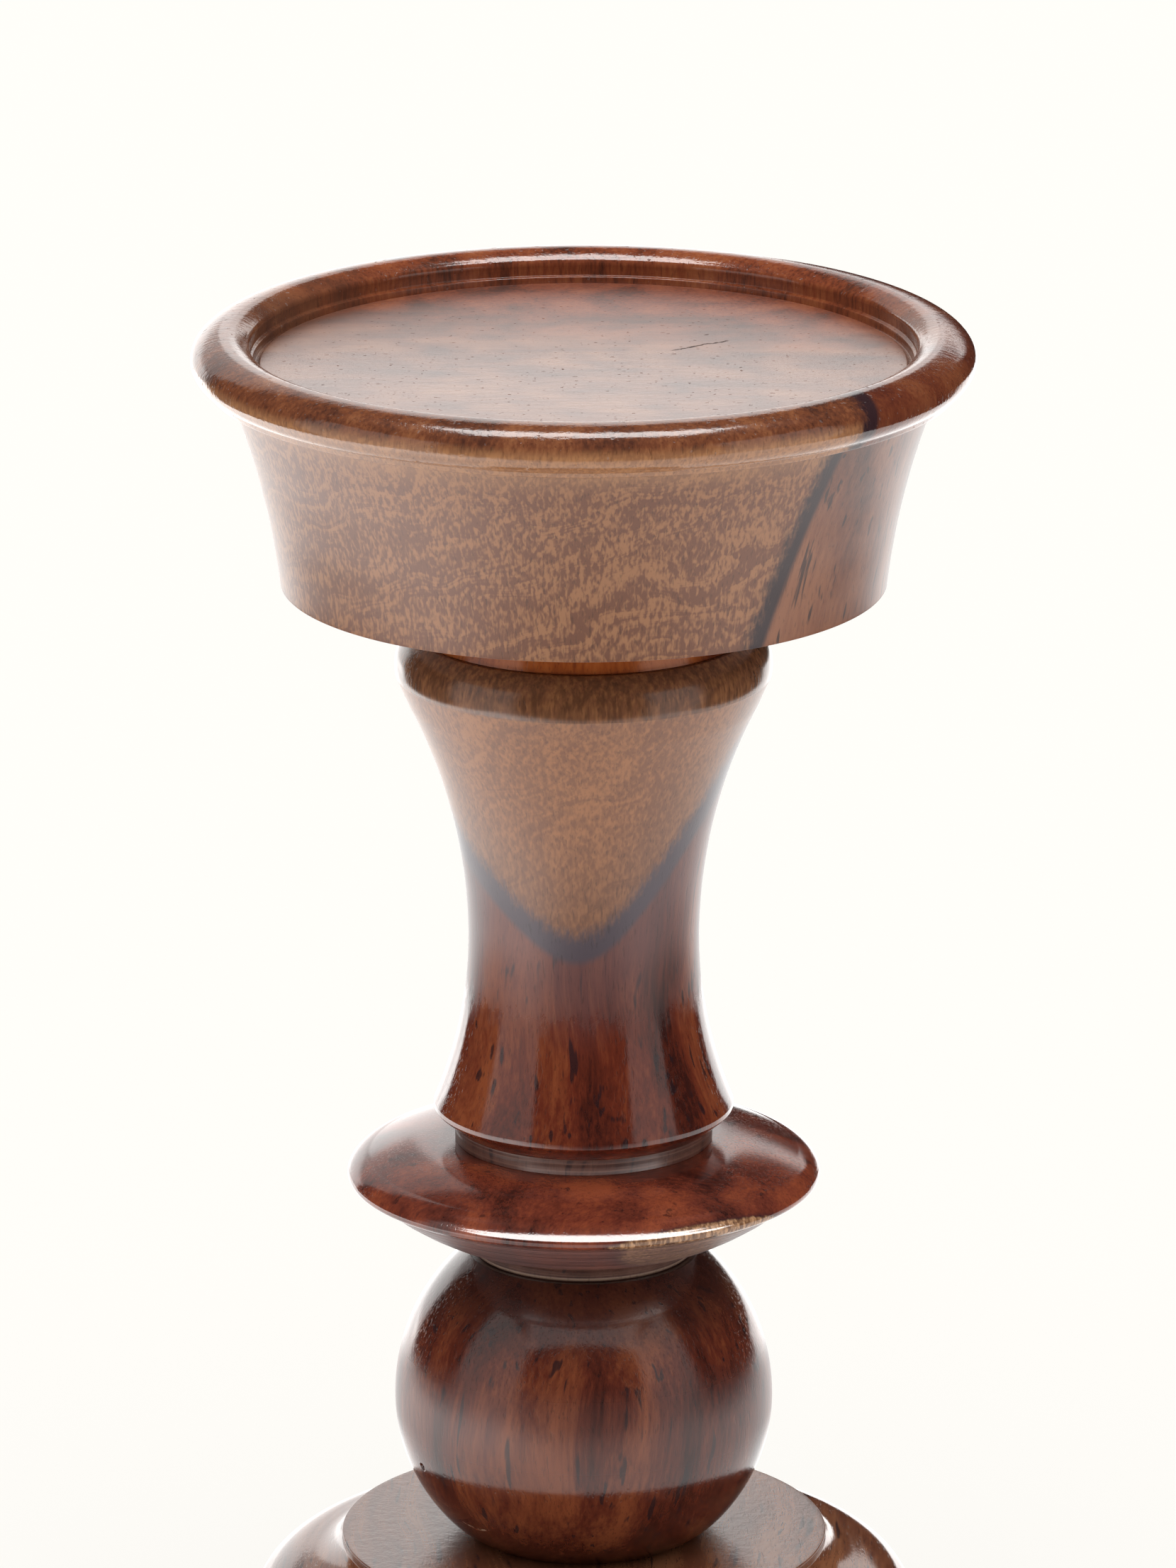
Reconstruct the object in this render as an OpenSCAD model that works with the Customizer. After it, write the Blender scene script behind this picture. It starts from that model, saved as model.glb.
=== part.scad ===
// Turned wooden pillar-candle stand: eight turned pieces stacked on one hidden steel tie rod.
// Millimetres, +Z up, origin on the table under the stand's axis.

/* [Dish] */
// Outside diameter of the dish's rolled rim
rim_d = 108; // [100:1:116]
// Depth of the floor below the top of the rim
recess_depth = 4.2; // [3:0.1:6]
// Height of the dish from its underside to the top of the rim
dish_h = 35.3; // [32:0.1:40]
// Diameter of the dish at its lower edge
dish_foot_d = 83.8; // [76:0.2:88]

/* [Stem] */
// Height of the stem from its lower face to its upper face
stem_h = 71.4; // [60:0.2:90]
// Diameter at the sharp edge near the top of the stem
stem_top_d = 52.2; // [48:0.2:56]
// Diameter of the waist
waist_d = 32.2; // [28:0.2:36]
// Diameter of the lip at the bottom of the stem
stem_lip_d = 41.8; // [38:0.2:44]

/* [Collar and ball] */
// Outside diameter of the collar
collar_d = 66.2; // [60:0.2:72]
// Diameter of the ball
ball_d = 53.2; // [50:0.2:56]

/* [Base] */
// Diameter of the foot that stands on the table
foot_d = 104; // [102:1:112]
// Diameter of the flat disc on top of the base
base_disc_d = 68.4; // [64:0.2:72]
// Height of the base with its felt
base_h = 30.5; // [28:0.5:36]
// Thickness of the felt under the base
felt_t = 2; // [1.5:0.5:3]

/* [Hidden] */
$fn = 96;

// Heights of the joint faces, from the table up
ring_gap = 0.1;          // clearance of a spigot in its socket, all round
base_top = base_h;
ball_h = 41.9;
ball_top = base_top + ball_h;
ball_seat_h = 4.2;
collar_bottom = ball_top + ball_seat_h;
collar_h = 12.3;
collar_top = collar_bottom + collar_h;
stem_seat_h = 2.3;
stem_bottom = collar_top + stem_seat_h;
stem_top = stem_bottom + stem_h;
neck_h = 7.1;
dish_bottom = stem_top + neck_h;
dish_top = dish_bottom + dish_h;

// Spigots that centre each piece on the next one
spigot_r = 11;
spigot_h = 3;
socket_r = spigot_r + ring_gap;
socket_h = spigot_h + 0.3;

// Tie rod, size M8, and what it screws into
rod_r = 4;
rod_bore_r = 4.4;
thread_pitch = 1.25;
thread_depth = 0.6;
thread_turns = 12;
insert_r = 6;
insert_h = 14;
insert_hole_h = 20;
rod_top = dish_bottom + 17;
rod_bottom = felt_t + 1.2;
nut_pocket_r = 14;
nut_pocket_h = 12;
nut_h = 6.5;
nut_across_flats = 13;
washer_t = 1.6;
washer_r = 12;
spring_washer_t = 2;
thread_clear = 0.05;

rim_r = rim_d / 2;
dish_foot_r = dish_foot_d / 2;
stem_top_r = stem_top_d / 2;
waist_r = waist_d / 2;
stem_lip_r = stem_lip_d / 2;
collar_r = collar_d / 2;
ball_r = ball_d / 2;
foot_r = foot_d / 2;
base_disc_r = base_disc_d / 2;

// Points on an arc about a centre, from angle a0 to angle a1 in degrees
function arc(centre, r, a0, a1, steps = 8) =
    [for (i = [0:steps]) let (a = a0 + (a1 - a0) * i / steps) centre + r * [cos(a), sin(a)]];

// Points on an arc from p to q, bowed by sag to the right of the way from p to q (left if negative)
function bow(p, q, sag, steps = 8) =
    let (chord = norm(q - p),
         r = (chord * chord / 4 + sag * sag) / (2 * abs(sag)),
         across = [q.y - p.y, p.x - q.x] / chord,
         side = sag > 0 ? 1 : -1,
         middle = (p + q) / 2 + across * (sag - side * r),
         from = atan2(p.y - middle.y, p.x - middle.x),
         sweep = 2 * asin(chord / (2 * r)) * side)
    arc(middle, r, from, from + sweep, steps);

// Points on an arc that leaves p straight up or down and ends at q
function flare(p, q, steps = 10) =
    let (way = q - p,
         r = (way.x * way.x + way.y * way.y) / (2 * way.x))
    arc([p.x + r, p.y], r, 180, 180 - asin(way.y / r), steps);

// Points on an oval about a centre, half_w wide and half_h high either way
function oval(centre, half_w, half_h, a0, a1, steps = 8) =
    [for (i = [0:steps]) let (a = a0 + (a1 - a0) * i / steps)
        centre + [half_w * cos(a), half_h * sin(a)]];

// The same points in the other order
function turned_round(points) = [for (i = [len(points) - 1:-1:0]) points[i]];

// Revolves an outline of [radius, height] points about the axis
module turned(outline, wood) {
    color(wood) rotate_extrude() polygon(outline);
}

heartwood = [0.36, 0.14, 0.08];
sapwood = [0.55, 0.36, 0.24];

// Dish: a rolled rim round a shallow recess, over a flared side
module dish() {
    floor_z = dish_top - recess_depth;
    groove_w = 1.4;
    groove_h = 0.5;
    rim_h = 3.5;
    rim_middle = [rim_r - 5, dish_top - rim_h];
    wall_r = rim_middle.x - 3.1;
    side_top = [rim_r - 5.2, dish_top - 7.6];
    turned(concat(
        [[0, dish_bottom + insert_hole_h], [insert_r, dish_bottom + insert_hole_h],
         [insert_r, dish_bottom + socket_h], [socket_r, dish_bottom + socket_h],
         [socket_r, dish_bottom], [dish_foot_r - 0.2, dish_bottom]],
        bow([dish_foot_r, dish_bottom + 0.2], side_top, -0.95, 14),
        [[rim_r - 4.9, dish_top - 7.3], [rim_r - 2.3, dish_top - 7]],
        oval(rim_middle, 5, rim_h, -52, 90, 14),
        oval(rim_middle, rim_middle.x - wall_r, rim_h, 100, 172, 7),
        [[wall_r, floor_z - groove_h], [wall_r - groove_w + 0.3, floor_z - groove_h],
         [wall_r - groove_w, floor_z], [0, floor_z]]), sapwood);
}

// Neck ring: the slightly hollow ring between the dish and the stem
module neck_ring() {
    heel_r = 23.2;
    crown_r = 24;
    turned(concat(
        [[rod_bore_r, stem_top - spigot_h], [spigot_r, stem_top - spigot_h], [spigot_r, stem_top]],
        bow([heel_r, stem_top], [crown_r, dish_bottom], -0.9, 8),
        [[spigot_r, dish_bottom], [spigot_r, dish_bottom + spigot_h],
         [rod_bore_r, dish_bottom + spigot_h]]), heartwood);
}

// Stem: a waisted column with a rounded shoulder above and a thin lip below
module stem() {
    edge_z = stem_top - 6.1;
    shoulder = [stem_top_r - 0.1, edge_z + 1.4];
    lip_z = stem_bottom + 2.3;
    lip_h = 0.8;
    heel_r = 18.2;
    waist = [waist_r, stem_bottom + 27];
    turned(concat(
        [[rod_bore_r, stem_top - socket_h], [rod_bore_r, stem_bottom + socket_h],
         [socket_r, stem_bottom + socket_h], [socket_r, stem_bottom], [heel_r, stem_bottom],
         [stem_lip_r - 0.2, lip_z - 0.1], [stem_lip_r, lip_z + 0.1], [stem_lip_r, lip_z + lip_h]],
        turned_round(flare(waist, [stem_lip_r - 0.25, lip_z + lip_h + 0.6], 12)),
        flare(waist, [stem_top_r - 1.8, edge_z - 4.1], 16),
        [[stem_top_r, edge_z]],
        bow(shoulder, [stem_top_r - 1.7, stem_top], 0.35, 6),
        [[socket_r, stem_top], [socket_r, stem_top - socket_h]]), sapwood);
}

// Stem seat ring: the narrow ring that the stem stands on
module stem_seat_ring() {
    r = 18;
    turned([[rod_bore_r, collar_top - spigot_h], [spigot_r, collar_top - spigot_h],
            [spigot_r, collar_top], [r, collar_top], [r, stem_bottom - 0.25], [r - 0.25, stem_bottom],
            [spigot_r, stem_bottom], [spigot_r, stem_bottom + spigot_h],
            [rod_bore_r, stem_bottom + spigot_h]], heartwood);
}

// Collar: a domed disc with a rounded edge over a stepped, coned underside
module collar() {
    edge_z = collar_top - 4.6;
    heel_r = collar_r - 10.6;
    dome = [collar_r - 3, edge_z + 2.2];
    crown_r = 18;
    turned(concat(
        [[rod_bore_r, collar_top - socket_h], [rod_bore_r, collar_bottom + socket_h],
         [socket_r, collar_bottom + socket_h], [socket_r, collar_bottom],
         [heel_r - 0.4, collar_bottom]],
        bow([heel_r, collar_bottom + 0.2], [collar_r - 2.5, edge_z - 2.1], 0.3, 6),
        bow([collar_r - 0.8, edge_z - 1.4], [collar_r, edge_z], 0.2, 4),
        bow([collar_r, edge_z], dome, 0.45, 5),
        bow(dome, [crown_r, collar_top], 0.6, 8),
        [[socket_r, collar_top], [socket_r, collar_top - socket_h]]), heartwood);
}

// Ball seat ring: the small coved ring between the collar and the ball
module ball_seat_ring() {
    crown_r = 17.2;
    heel_r = 15.3;
    turned(concat(
        [[rod_bore_r, ball_top - spigot_h], [spigot_r, ball_top - spigot_h], [spigot_r, ball_top]],
        bow([heel_r, ball_top], [crown_r, collar_bottom - 1.1], -0.35, 6),
        [[crown_r, collar_bottom], [spigot_r, collar_bottom],
         [spigot_r, collar_bottom + spigot_h], [rod_bore_r, collar_bottom + spigot_h]]), heartwood);
}

// Ball: round, and tucked in a little where it meets the base
module ball() {
    middle = [ball_r, ball_top - 21.5];
    cheek = [ball_r - 6.4, middle.y - 16.7];
    seat_r = ball_r - 11.4;
    crown_r = ball_r - 10.3;
    turned(concat(
        [[rod_bore_r, ball_top - socket_h], [rod_bore_r, base_top - spigot_h],
         [spigot_r, base_top - spigot_h], [spigot_r, base_top]],
        bow([seat_r, base_top], cheek, 0.3, 4),
        turned_round(flare(middle, cheek, 12)),
        flare(middle, [crown_r, ball_top], 14),
        [[socket_r, ball_top], [socket_r, ball_top - socket_h]]), heartwood);
}

// Base: a raised flat disc, a cove, a rounded shoulder and a spreading foot
module base() {
    disc_t = 1.2;
    shoulder_r = 8.5;
    shoulder = [base_disc_r + 4.3, base_top - 12.5];
    toe = [foot_r - 3.3, felt_t + 3.4];
    turned(concat(
        [[rod_bore_r, felt_t + nut_pocket_h], [nut_pocket_r, felt_t + nut_pocket_h],
         [nut_pocket_r, felt_t], [toe.x + 1, felt_t]],
        oval(toe, 3.3, 3.3, -65, 85, 12),
        bow([toe.x - 0.8, felt_t + 6.5], [shoulder.x + 6.1, shoulder.y - 5.4], -0.5, 6),
        arc(shoulder, shoulder_r, -32, 84, 14),
        bow([shoulder.x, shoulder.y + shoulder_r + 0.1], [base_disc_r, base_top - disc_t], -0.6, 5),
        [[base_disc_r, base_top - 0.2], [base_disc_r - 0.2, base_top],
         [socket_r, base_top], [socket_r, base_top - socket_h], [rod_bore_r, base_top - socket_h]]),
        heartwood);
}

// Felt: the round pad glued under the base, which also hides the nut
module base_felt() {
    felt_r = foot_r - 2.5;
    color([0.13, 0.2, 0.13]) cylinder(r = felt_r, h = felt_t);
}

// Ring grooves that stand for a thread: [radius, height] points going up from z
function thread_grooves(z, turns) =
    [for (i = [0:turns - 1], p = [[0, 0], [thread_depth, 0.5], [0, 1]])
        [rod_r - p.x, z + (i + p.y) * thread_pitch]];

// Tie rod: steel, threaded at both ends
module tie_rod() {
    chamfer = 0.6;
    thread_h = thread_turns * thread_pitch;
    color([0.72, 0.72, 0.74]) rotate_extrude() polygon(concat(
        [[0, rod_bottom], [rod_r - chamfer, rod_bottom], [rod_r, rod_bottom + chamfer]],
        thread_grooves(rod_bottom + chamfer, thread_turns),
        thread_grooves(rod_top - chamfer - thread_h, thread_turns),
        [[rod_r - chamfer, rod_top], [0, rod_top]]));
}

// Insert: the brass bush, ribbed outside, that is pressed into the dish
module dish_insert() {
    bottom = dish_bottom + socket_h + 0.2;
    ribs = 5;
    rib_pitch = insert_h / ribs;
    rib_h = 0.4;
    bore_r = rod_r + thread_clear;
    color([0.78, 0.6, 0.3]) rotate_extrude() polygon(concat(
        [[bore_r, bottom + insert_h], [bore_r, bottom]],
        [for (i = [0:ribs - 1], p = [[rib_h, 0], [0, 0.35], [0, 0.75], [rib_h, 1]])
            [insert_r - p.x, bottom + (i + p.y) * rib_pitch]]));
}

// Flat washer: it spreads the nut's load on the wood
module flat_washer() {
    top = felt_t + nut_pocket_h;
    color([0.72, 0.72, 0.74]) translate([0, 0, top - washer_t]) difference() {
        cylinder(r = washer_r, h = washer_t);
        translate([0, 0, -1]) cylinder(r = rod_bore_r, h = washer_t + 2);
    }
}

// Spring washer: a split ring that keeps the nut tight
module spring_washer() {
    split = 12;
    top = felt_t + nut_pocket_h - washer_t;
    color([0.6, 0.6, 0.62]) translate([0, 0, top - spring_washer_t])
        rotate_extrude(angle = 360 - split)
            translate([rod_bore_r, 0]) square([2.9, spring_washer_t]);
}

// Nut: a hexagon with chamfered corners
module hex_nut() {
    corner_r = nut_across_flats / 2 / cos(30);
    top = felt_t + nut_pocket_h - washer_t - spring_washer_t;
    chamfer = corner_r - nut_across_flats / 2;
    color([0.72, 0.72, 0.74]) translate([0, 0, top - nut_h]) intersection() {
        difference() {
            cylinder(r = corner_r, h = nut_h, $fn = 6);
            translate([0, 0, -1]) cylinder(r = rod_r + thread_clear, h = nut_h + 2);
        }
        rotate_extrude() polygon([[0, 0], [corner_r - chamfer, 0], [corner_r + 0.1, chamfer * 0.6],
            [corner_r + 0.1, nut_h - chamfer * 0.6], [corner_r - chamfer, nut_h], [0, nut_h]]);
    }
}

dish();
neck_ring();
stem();
stem_seat_ring();
collar();
ball_seat_ring();
ball();
base();
base_felt();
tie_rod();
dish_insert();
flat_washer();
spring_washer();
hex_nut();
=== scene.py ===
"""The looks of a turned, lacquered wooden candle stand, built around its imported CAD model.

Outlines are in millimetres, as [radius, height] pairs, and become metres in lathe().
Azimuths are in degrees round the axis: 0 faces the camera (-Y), and positive turns to its right (+X).
"""
import math

import bmesh
import bpy
import numpy as np
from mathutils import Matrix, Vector


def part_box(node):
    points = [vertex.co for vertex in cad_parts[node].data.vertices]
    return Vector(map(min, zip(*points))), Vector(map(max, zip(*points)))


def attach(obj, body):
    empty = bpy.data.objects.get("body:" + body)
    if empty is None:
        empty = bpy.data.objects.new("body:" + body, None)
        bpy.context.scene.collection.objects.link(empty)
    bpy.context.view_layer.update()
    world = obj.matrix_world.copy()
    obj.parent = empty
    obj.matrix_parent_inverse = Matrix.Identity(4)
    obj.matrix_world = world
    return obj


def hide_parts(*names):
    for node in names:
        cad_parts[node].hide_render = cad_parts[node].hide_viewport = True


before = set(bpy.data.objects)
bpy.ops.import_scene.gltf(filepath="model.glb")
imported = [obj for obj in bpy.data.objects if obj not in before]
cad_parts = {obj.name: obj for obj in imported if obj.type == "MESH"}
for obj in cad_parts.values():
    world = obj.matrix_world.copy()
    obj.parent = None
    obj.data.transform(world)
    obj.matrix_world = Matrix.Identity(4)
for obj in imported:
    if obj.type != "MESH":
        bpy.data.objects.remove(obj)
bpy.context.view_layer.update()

MM = 0.001


def heights(node):
    """A CAD node's lowest and highest points, in millimetres."""
    low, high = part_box(node)
    return round(low[2] / MM, 2), round(high[2] / MM, 2)


def radius(node):
    """A CAD node's largest radius, in millimetres."""
    return round(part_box(node)[1][0] / MM, 2)


# ---------------------------------------------------------------- camera

AXIS_AIM_Z = 0.14023      # height on the axis that the camera looks at
CAMERA_DISTANCE = 1.575
CAMERA_PITCH = math.radians(16.52)
CAMERA_LENS = 260.4
CAMERA_SIDE_STEP = 0.0006


def add_camera():
    camera = bpy.data.objects.new("camera", bpy.data.cameras.new("camera"))
    camera.data.lens = CAMERA_LENS
    camera.data.sensor_width = 36
    camera.data.clip_end = 50
    back = CAMERA_DISTANCE * math.cos(CAMERA_PITCH)
    up = CAMERA_DISTANCE * math.sin(CAMERA_PITCH)
    camera.location = (CAMERA_SIDE_STEP, -back, AXIS_AIM_Z + up)
    camera.rotation_euler = (math.pi / 2 - CAMERA_PITCH, 0, 0)
    bpy.context.scene.collection.objects.link(camera)
    bpy.context.scene.camera = camera


# ---------------------------------------------------------------- outlines


def arc(centre, r, a0, a1, steps=24):
    """Points on an arc about a centre, from angle a0 to a1 in degrees."""
    return oval(centre, r, r, a0, a1, steps)


def oval(centre, half_w, half_h, a0, a1, steps=24):
    turn = np.radians(np.linspace(a0, a1, steps + 1))
    return [(centre[0] + half_w * math.cos(t), centre[1] + half_h * math.sin(t)) for t in turn]


def bow(p, q, sag, steps=16):
    """Points on an arc from p to q, bowed by sag to the right of the way from p to q."""
    p, q = np.array(p, float), np.array(q, float)
    way = q - p
    chord = np.linalg.norm(way)
    r = (chord * chord / 4 + sag * sag) / (2 * abs(sag))
    side = math.copysign(1, sag)
    middle = (p + q) / 2 + np.array([way[1], -way[0]]) / chord * (sag - side * r)
    start = math.degrees(math.atan2(*(p - middle)[::-1]))
    sweep = math.degrees(2 * math.asin(chord / (2 * r))) * side
    return arc(middle, r, start, start + sweep, steps)


def flare(p, q, steps=24):
    """Points on an arc that leaves p straight up or down and ends at q."""
    wide, high = q[0] - p[0], q[1] - p[1]
    r = (wide * wide + high * high) / (2 * wide)
    return arc((p[0] + r, p[1]), r, 180, 180 - math.degrees(math.asin(high / r)), steps)


def rounded(outline, r, least_turn=14, steps=5):
    """The outline with a small arc of about radius r at each sharp corner."""
    points = [np.array(p, float) for p in outline]
    points = [p for i, p in enumerate(points) if i == 0 or np.linalg.norm(p - points[i - 1]) > 1e-4]
    result = [points[0]]
    for before, corner, after in zip(points, points[1:], points[2:]):
        into, out = corner - before, after - corner
        len_in, len_out = np.linalg.norm(into), np.linalg.norm(out)
        turn = math.acos(max(-1, min(1, float(into @ out) / (len_in * len_out))))
        if math.degrees(turn) < least_turn:
            result.append(corner)
            continue
        cut = min(r * math.tan(turn / 2), 0.45 * len_in, 0.45 * len_out)
        start, end = corner - into / len_in * cut, corner + out / len_out * cut
        for t in np.linspace(0, 1, steps + 1):
            result.append((1 - t) ** 2 * start + 2 * t * (1 - t) * corner + t * t * end)
    result.append(points[-1])
    return result


def spaced(outline, step):
    """The outline with points added so that no gap is longer than step."""
    result = [tuple(outline[0])]
    for before, after in zip(outline, outline[1:]):
        gaps = max(1, math.ceil(np.linalg.norm(np.subtract(after, before)) / step))
        for i in range(1, gaps + 1):
            result.append(tuple(np.add(before, np.subtract(after, before) * i / gaps).tolist()))
    return result


FULL_TURN = 6.28     # radians, near enough for waves of random phase


def tool_lines(outline, low, high, depth, pitch, seed, least_r=0):
    """Fine turning lines: each point between two heights moves in or out a little."""
    rng = np.random.default_rng(seed)
    phase = rng.uniform(0, FULL_TURN, 4)
    rates = [1, 0.63, 1.71, 0.37]
    result = []
    travel = 0.0
    last = outline[0]
    for p in outline:
        travel += math.hypot(p[0] - last[0], p[1] - last[1])
        last = p
        inside = low < p[1] < high and p[0] > least_r
        wave = sum(math.sin(FULL_TURN * travel / pitch * rate + f)
                   for rate, f in zip(rates, phase)) / 4
        result.append((p[0] + depth * wave, p[1]) if inside else tuple(p))
    return result


# ---------------------------------------------------------------- lathe work

SEGMENTS = 256


def azimuths(extra=()):
    """Evenly spread azimuths, with more of them close to each (azimuth, spread, count) in extra."""
    turns = list(np.linspace(-180, 180, SEGMENTS, endpoint=False))
    for middle, spread, count in extra:
        turns += list(np.linspace(middle - spread, middle + spread, count))
    return np.radians(sorted(set(np.round(turns, 4))))


def lathe(name, outline, closed=True, extra=(), shift=None):
    """Revolves an outline into a smooth mesh. closed joins its last point to its first.

    Otherwise its ends lie on the axis. shift takes all the points, in millimetres, and returns
    them moved.
    """
    turns = azimuths(extra)
    outline = np.array(outline, float)
    poles = [] if closed else [outline[0], outline[-1]]
    rows = outline if closed else outline[1:-1]
    r, z = rows[:, 0][:, None], rows[:, 1][:, None]
    x, y = r * np.sin(turns), -r * np.cos(turns)
    points = np.stack([x, y, np.broadcast_to(z, x.shape)], -1).reshape(-1, 3)
    points = np.vstack([points] + [[[0, 0, p[1]]] for p in poles])
    if shift:
        points = shift(points)
    n_rows, n_turns = len(rows), len(turns)
    faces = []
    for i in range(n_rows if closed else n_rows - 1):
        a, b = i * n_turns, (i + 1) % n_rows * n_turns
        for j in range(n_turns):
            k = (j + 1) % n_turns
            faces.append((a + j, a + k, b + k, b + j))
    if not closed:
        first, last = n_rows * n_turns, n_rows * n_turns + 1
        top = (n_rows - 1) * n_turns
        for j in range(n_turns):
            k = (j + 1) % n_turns
            faces.append((first, k, j))
            faces.append((last, top + j, top + k))
    mesh = bpy.data.meshes.new(name)
    mesh.from_pydata((points * MM).tolist(), [], faces)
    work = bmesh.new()
    work.from_mesh(mesh)
    bmesh.ops.recalc_face_normals(work, faces=work.faces)
    work.to_mesh(mesh)
    work.free()
    mesh.shade_smooth()
    piece = bpy.data.objects.new(name, mesh)
    bpy.context.scene.collection.objects.link(piece)
    return piece


WOBBLE_LEAST_R = 12    # the bores and spigots inside this radius stay true


def wobble(amount, seed):
    """A shift for lathe() that leaves a surface very slightly out of round, as hand work is."""
    phase = np.random.default_rng(seed).uniform(0, FULL_TURN, 5)

    def shift(points):
        x, y, z = points.T
        r = np.hypot(x, y)
        turn = np.arctan2(x, -y)
        wave = (np.sin(2 * turn + phase[0] + z * 0.05) + 0.6 * np.sin(3 * turn + phase[1] - z * 0.09)
                + 0.3 * np.sin(7 * turn + phase[2] + z * 0.23) + 0.25 * np.sin(z * 0.8 + phase[3]))
        grow = 1 + amount * wave / np.maximum(r, 5) * (r > WOBBLE_LEAST_R)
        return np.column_stack([x * grow, y * grow, z])

    return shift


ROD_BORE_R = 4.4
SPIGOT_R = 11
SPIGOT_H = 3
SOCKET_R = 11.1
SOCKET_H = 3.3

dish_bottom, dish_top = heights("dish")
stem_bottom, stem_top = heights("stem")
collar_bottom, collar_top = heights("collar")
ball_foot, ball_top = heights("ball")
felt_top, base_top = heights("base")
rim_r = radius("dish")
stem_top_r = radius("stem")
collar_r = radius("collar")
ball_r = radius("ball")
foot_r = radius("base")


def dish_piece():
    insert_r, insert_hole_h = 6, 20
    foot = 41.9
    recess, groove_h, groove_w = 4.2, 0.5, 1.4
    floor_z = dish_top - recess
    rim_h = 3.5
    middle = (rim_r - 5, dish_top - rim_h)
    wall_r = middle[0] - 3.1
    outline = [(0, dish_bottom + insert_hole_h), (insert_r, dish_bottom + insert_hole_h),
               (insert_r, dish_bottom + SOCKET_H), (SOCKET_R, dish_bottom + SOCKET_H),
               (SOCKET_R, dish_bottom), (foot, dish_bottom)]
    outline += bow((foot, dish_bottom + 0.1), (rim_r - 5.2, dish_top - 7.6), -0.95, 40)
    outline += [(rim_r - 4.9, dish_top - 7.3), (rim_r - 2.3, dish_top - 7)]
    outline += oval(middle, 5, rim_h, -52, 90, 48)
    outline += bow((middle[0] - 0.2, dish_top), (middle[0] - 2.5, dish_top - 1), 0.15, 12)
    outline += bow((middle[0] - 2.6, dish_top - 1.1), (wall_r, dish_top - 2.2), 0.2, 12)
    ledge_w = 0.5
    outline += [(wall_r, floor_z + 0.8), (wall_r - ledge_w, floor_z + 0.6),
                (wall_r - ledge_w - 0.1, floor_z - groove_h),
                (wall_r - groove_w + 0.3, floor_z - groove_h),
                (wall_r - groove_w, floor_z), (0, floor_z)]
    outline = spaced(rounded(outline, 0.22), 0.7)
    return lathe("dish_wood", outline, closed=False, shift=wobble(0.03, 1))


def neck_piece():
    outline = [(ROD_BORE_R, stem_top - SPIGOT_H), (SPIGOT_R, stem_top - SPIGOT_H),
               (SPIGOT_R, stem_top)]
    outline += bow((23.2, stem_top), (24, dish_bottom), -0.9, 24)
    outline += [(SPIGOT_R, dish_bottom), (SPIGOT_R, dish_bottom + SPIGOT_H),
                (ROD_BORE_R, dish_bottom + SPIGOT_H), (ROD_BORE_R, stem_top - SPIGOT_H)]
    outline = spaced(rounded(outline, 0.15), 0.7)
    return lathe("neck_ring_wood", outline[:-1], shift=wobble(0.03, 2))


def stem_piece():
    edge_z = stem_top - 6.1
    lip_r, lip_z, lip_h = 20.9, stem_bottom + 2.3, 0.8
    waist = (16.1, stem_bottom + 27)
    flare_end = (stem_top_r - 1.8, edge_z - 4.1)
    outline = [(ROD_BORE_R, stem_top - SOCKET_H), (ROD_BORE_R, stem_bottom + SOCKET_H),
               (SOCKET_R, stem_bottom + SOCKET_H), (SOCKET_R, stem_bottom), (18.2, stem_bottom),
               (lip_r - 0.15, lip_z - 0.1), (lip_r, lip_z + 0.1), (lip_r, lip_z + lip_h)]
    outline += flare(waist, (lip_r - 0.25, lip_z + lip_h + 0.6), 40)[::-1]
    outline += flare(waist, flare_end, 50)
    bulge_r, bulge_z = 6, edge_z + 1.3
    outline += arc((stem_top_r + 0.1 - bulge_r, bulge_z), bulge_r, -12.5, 53.1, 20)
    outline += [(SOCKET_R, stem_top), (SOCKET_R, stem_top - SOCKET_H),
                (ROD_BORE_R, stem_top - SOCKET_H)]
    outline = spaced(rounded(outline, 0.2, least_turn=8), 0.7)
    return lathe("stem_wood", outline[:-1], shift=wobble(0.03, 3))


def stem_seat_piece():
    r = 18
    low, high = collar_top, stem_bottom
    outline = [(ROD_BORE_R, low - SPIGOT_H), (SPIGOT_R, low - SPIGOT_H), (SPIGOT_R, low), (r, low),
               (r, high), (SPIGOT_R, high), (SPIGOT_R, high + SPIGOT_H), (ROD_BORE_R, high + SPIGOT_H),
               (ROD_BORE_R, low - SPIGOT_H)]
    outline = spaced(rounded(outline, 0.12), 0.2)
    outline = tool_lines(outline, low + 0.2, high - 0.2, 0.05, 0.7, 4, least_r=r - 1)
    return lathe("stem_seat_ring_wood", outline[:-1])


def collar_piece():
    edge_z = collar_top - 4.6
    heel_r = collar_r - 10.6
    dome = (collar_r - 3, edge_z + 2.2)
    outline = [(ROD_BORE_R, collar_top - SOCKET_H), (ROD_BORE_R, collar_bottom + SOCKET_H),
               (SOCKET_R, collar_bottom + SOCKET_H), (SOCKET_R, collar_bottom),
               (heel_r - 0.3, collar_bottom)]
    outline += bow((heel_r, collar_bottom + 0.2), (collar_r - 2.5, edge_z - 2.1), 0.3, 16)
    outline += arc((collar_r - 1, edge_z - 0.35), 1, -62, 42, 16)
    outline += bow((collar_r - 0.3, edge_z + 0.4), dome, 0.3, 16)
    outline += bow(dome, (18, collar_top), 0.6, 30)
    outline += [(SOCKET_R, collar_top), (SOCKET_R, collar_top - SOCKET_H),
                (ROD_BORE_R, collar_top - SOCKET_H)]
    outline = spaced(rounded(outline, 0.35), 0.3)
    outline = tool_lines(outline, collar_bottom + 0.3, edge_z - 2.2, 0.07, 1.0, 5, least_r=heel_r)
    return lathe("collar_wood", outline[:-1], shift=wobble(0.02, 5))


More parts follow.
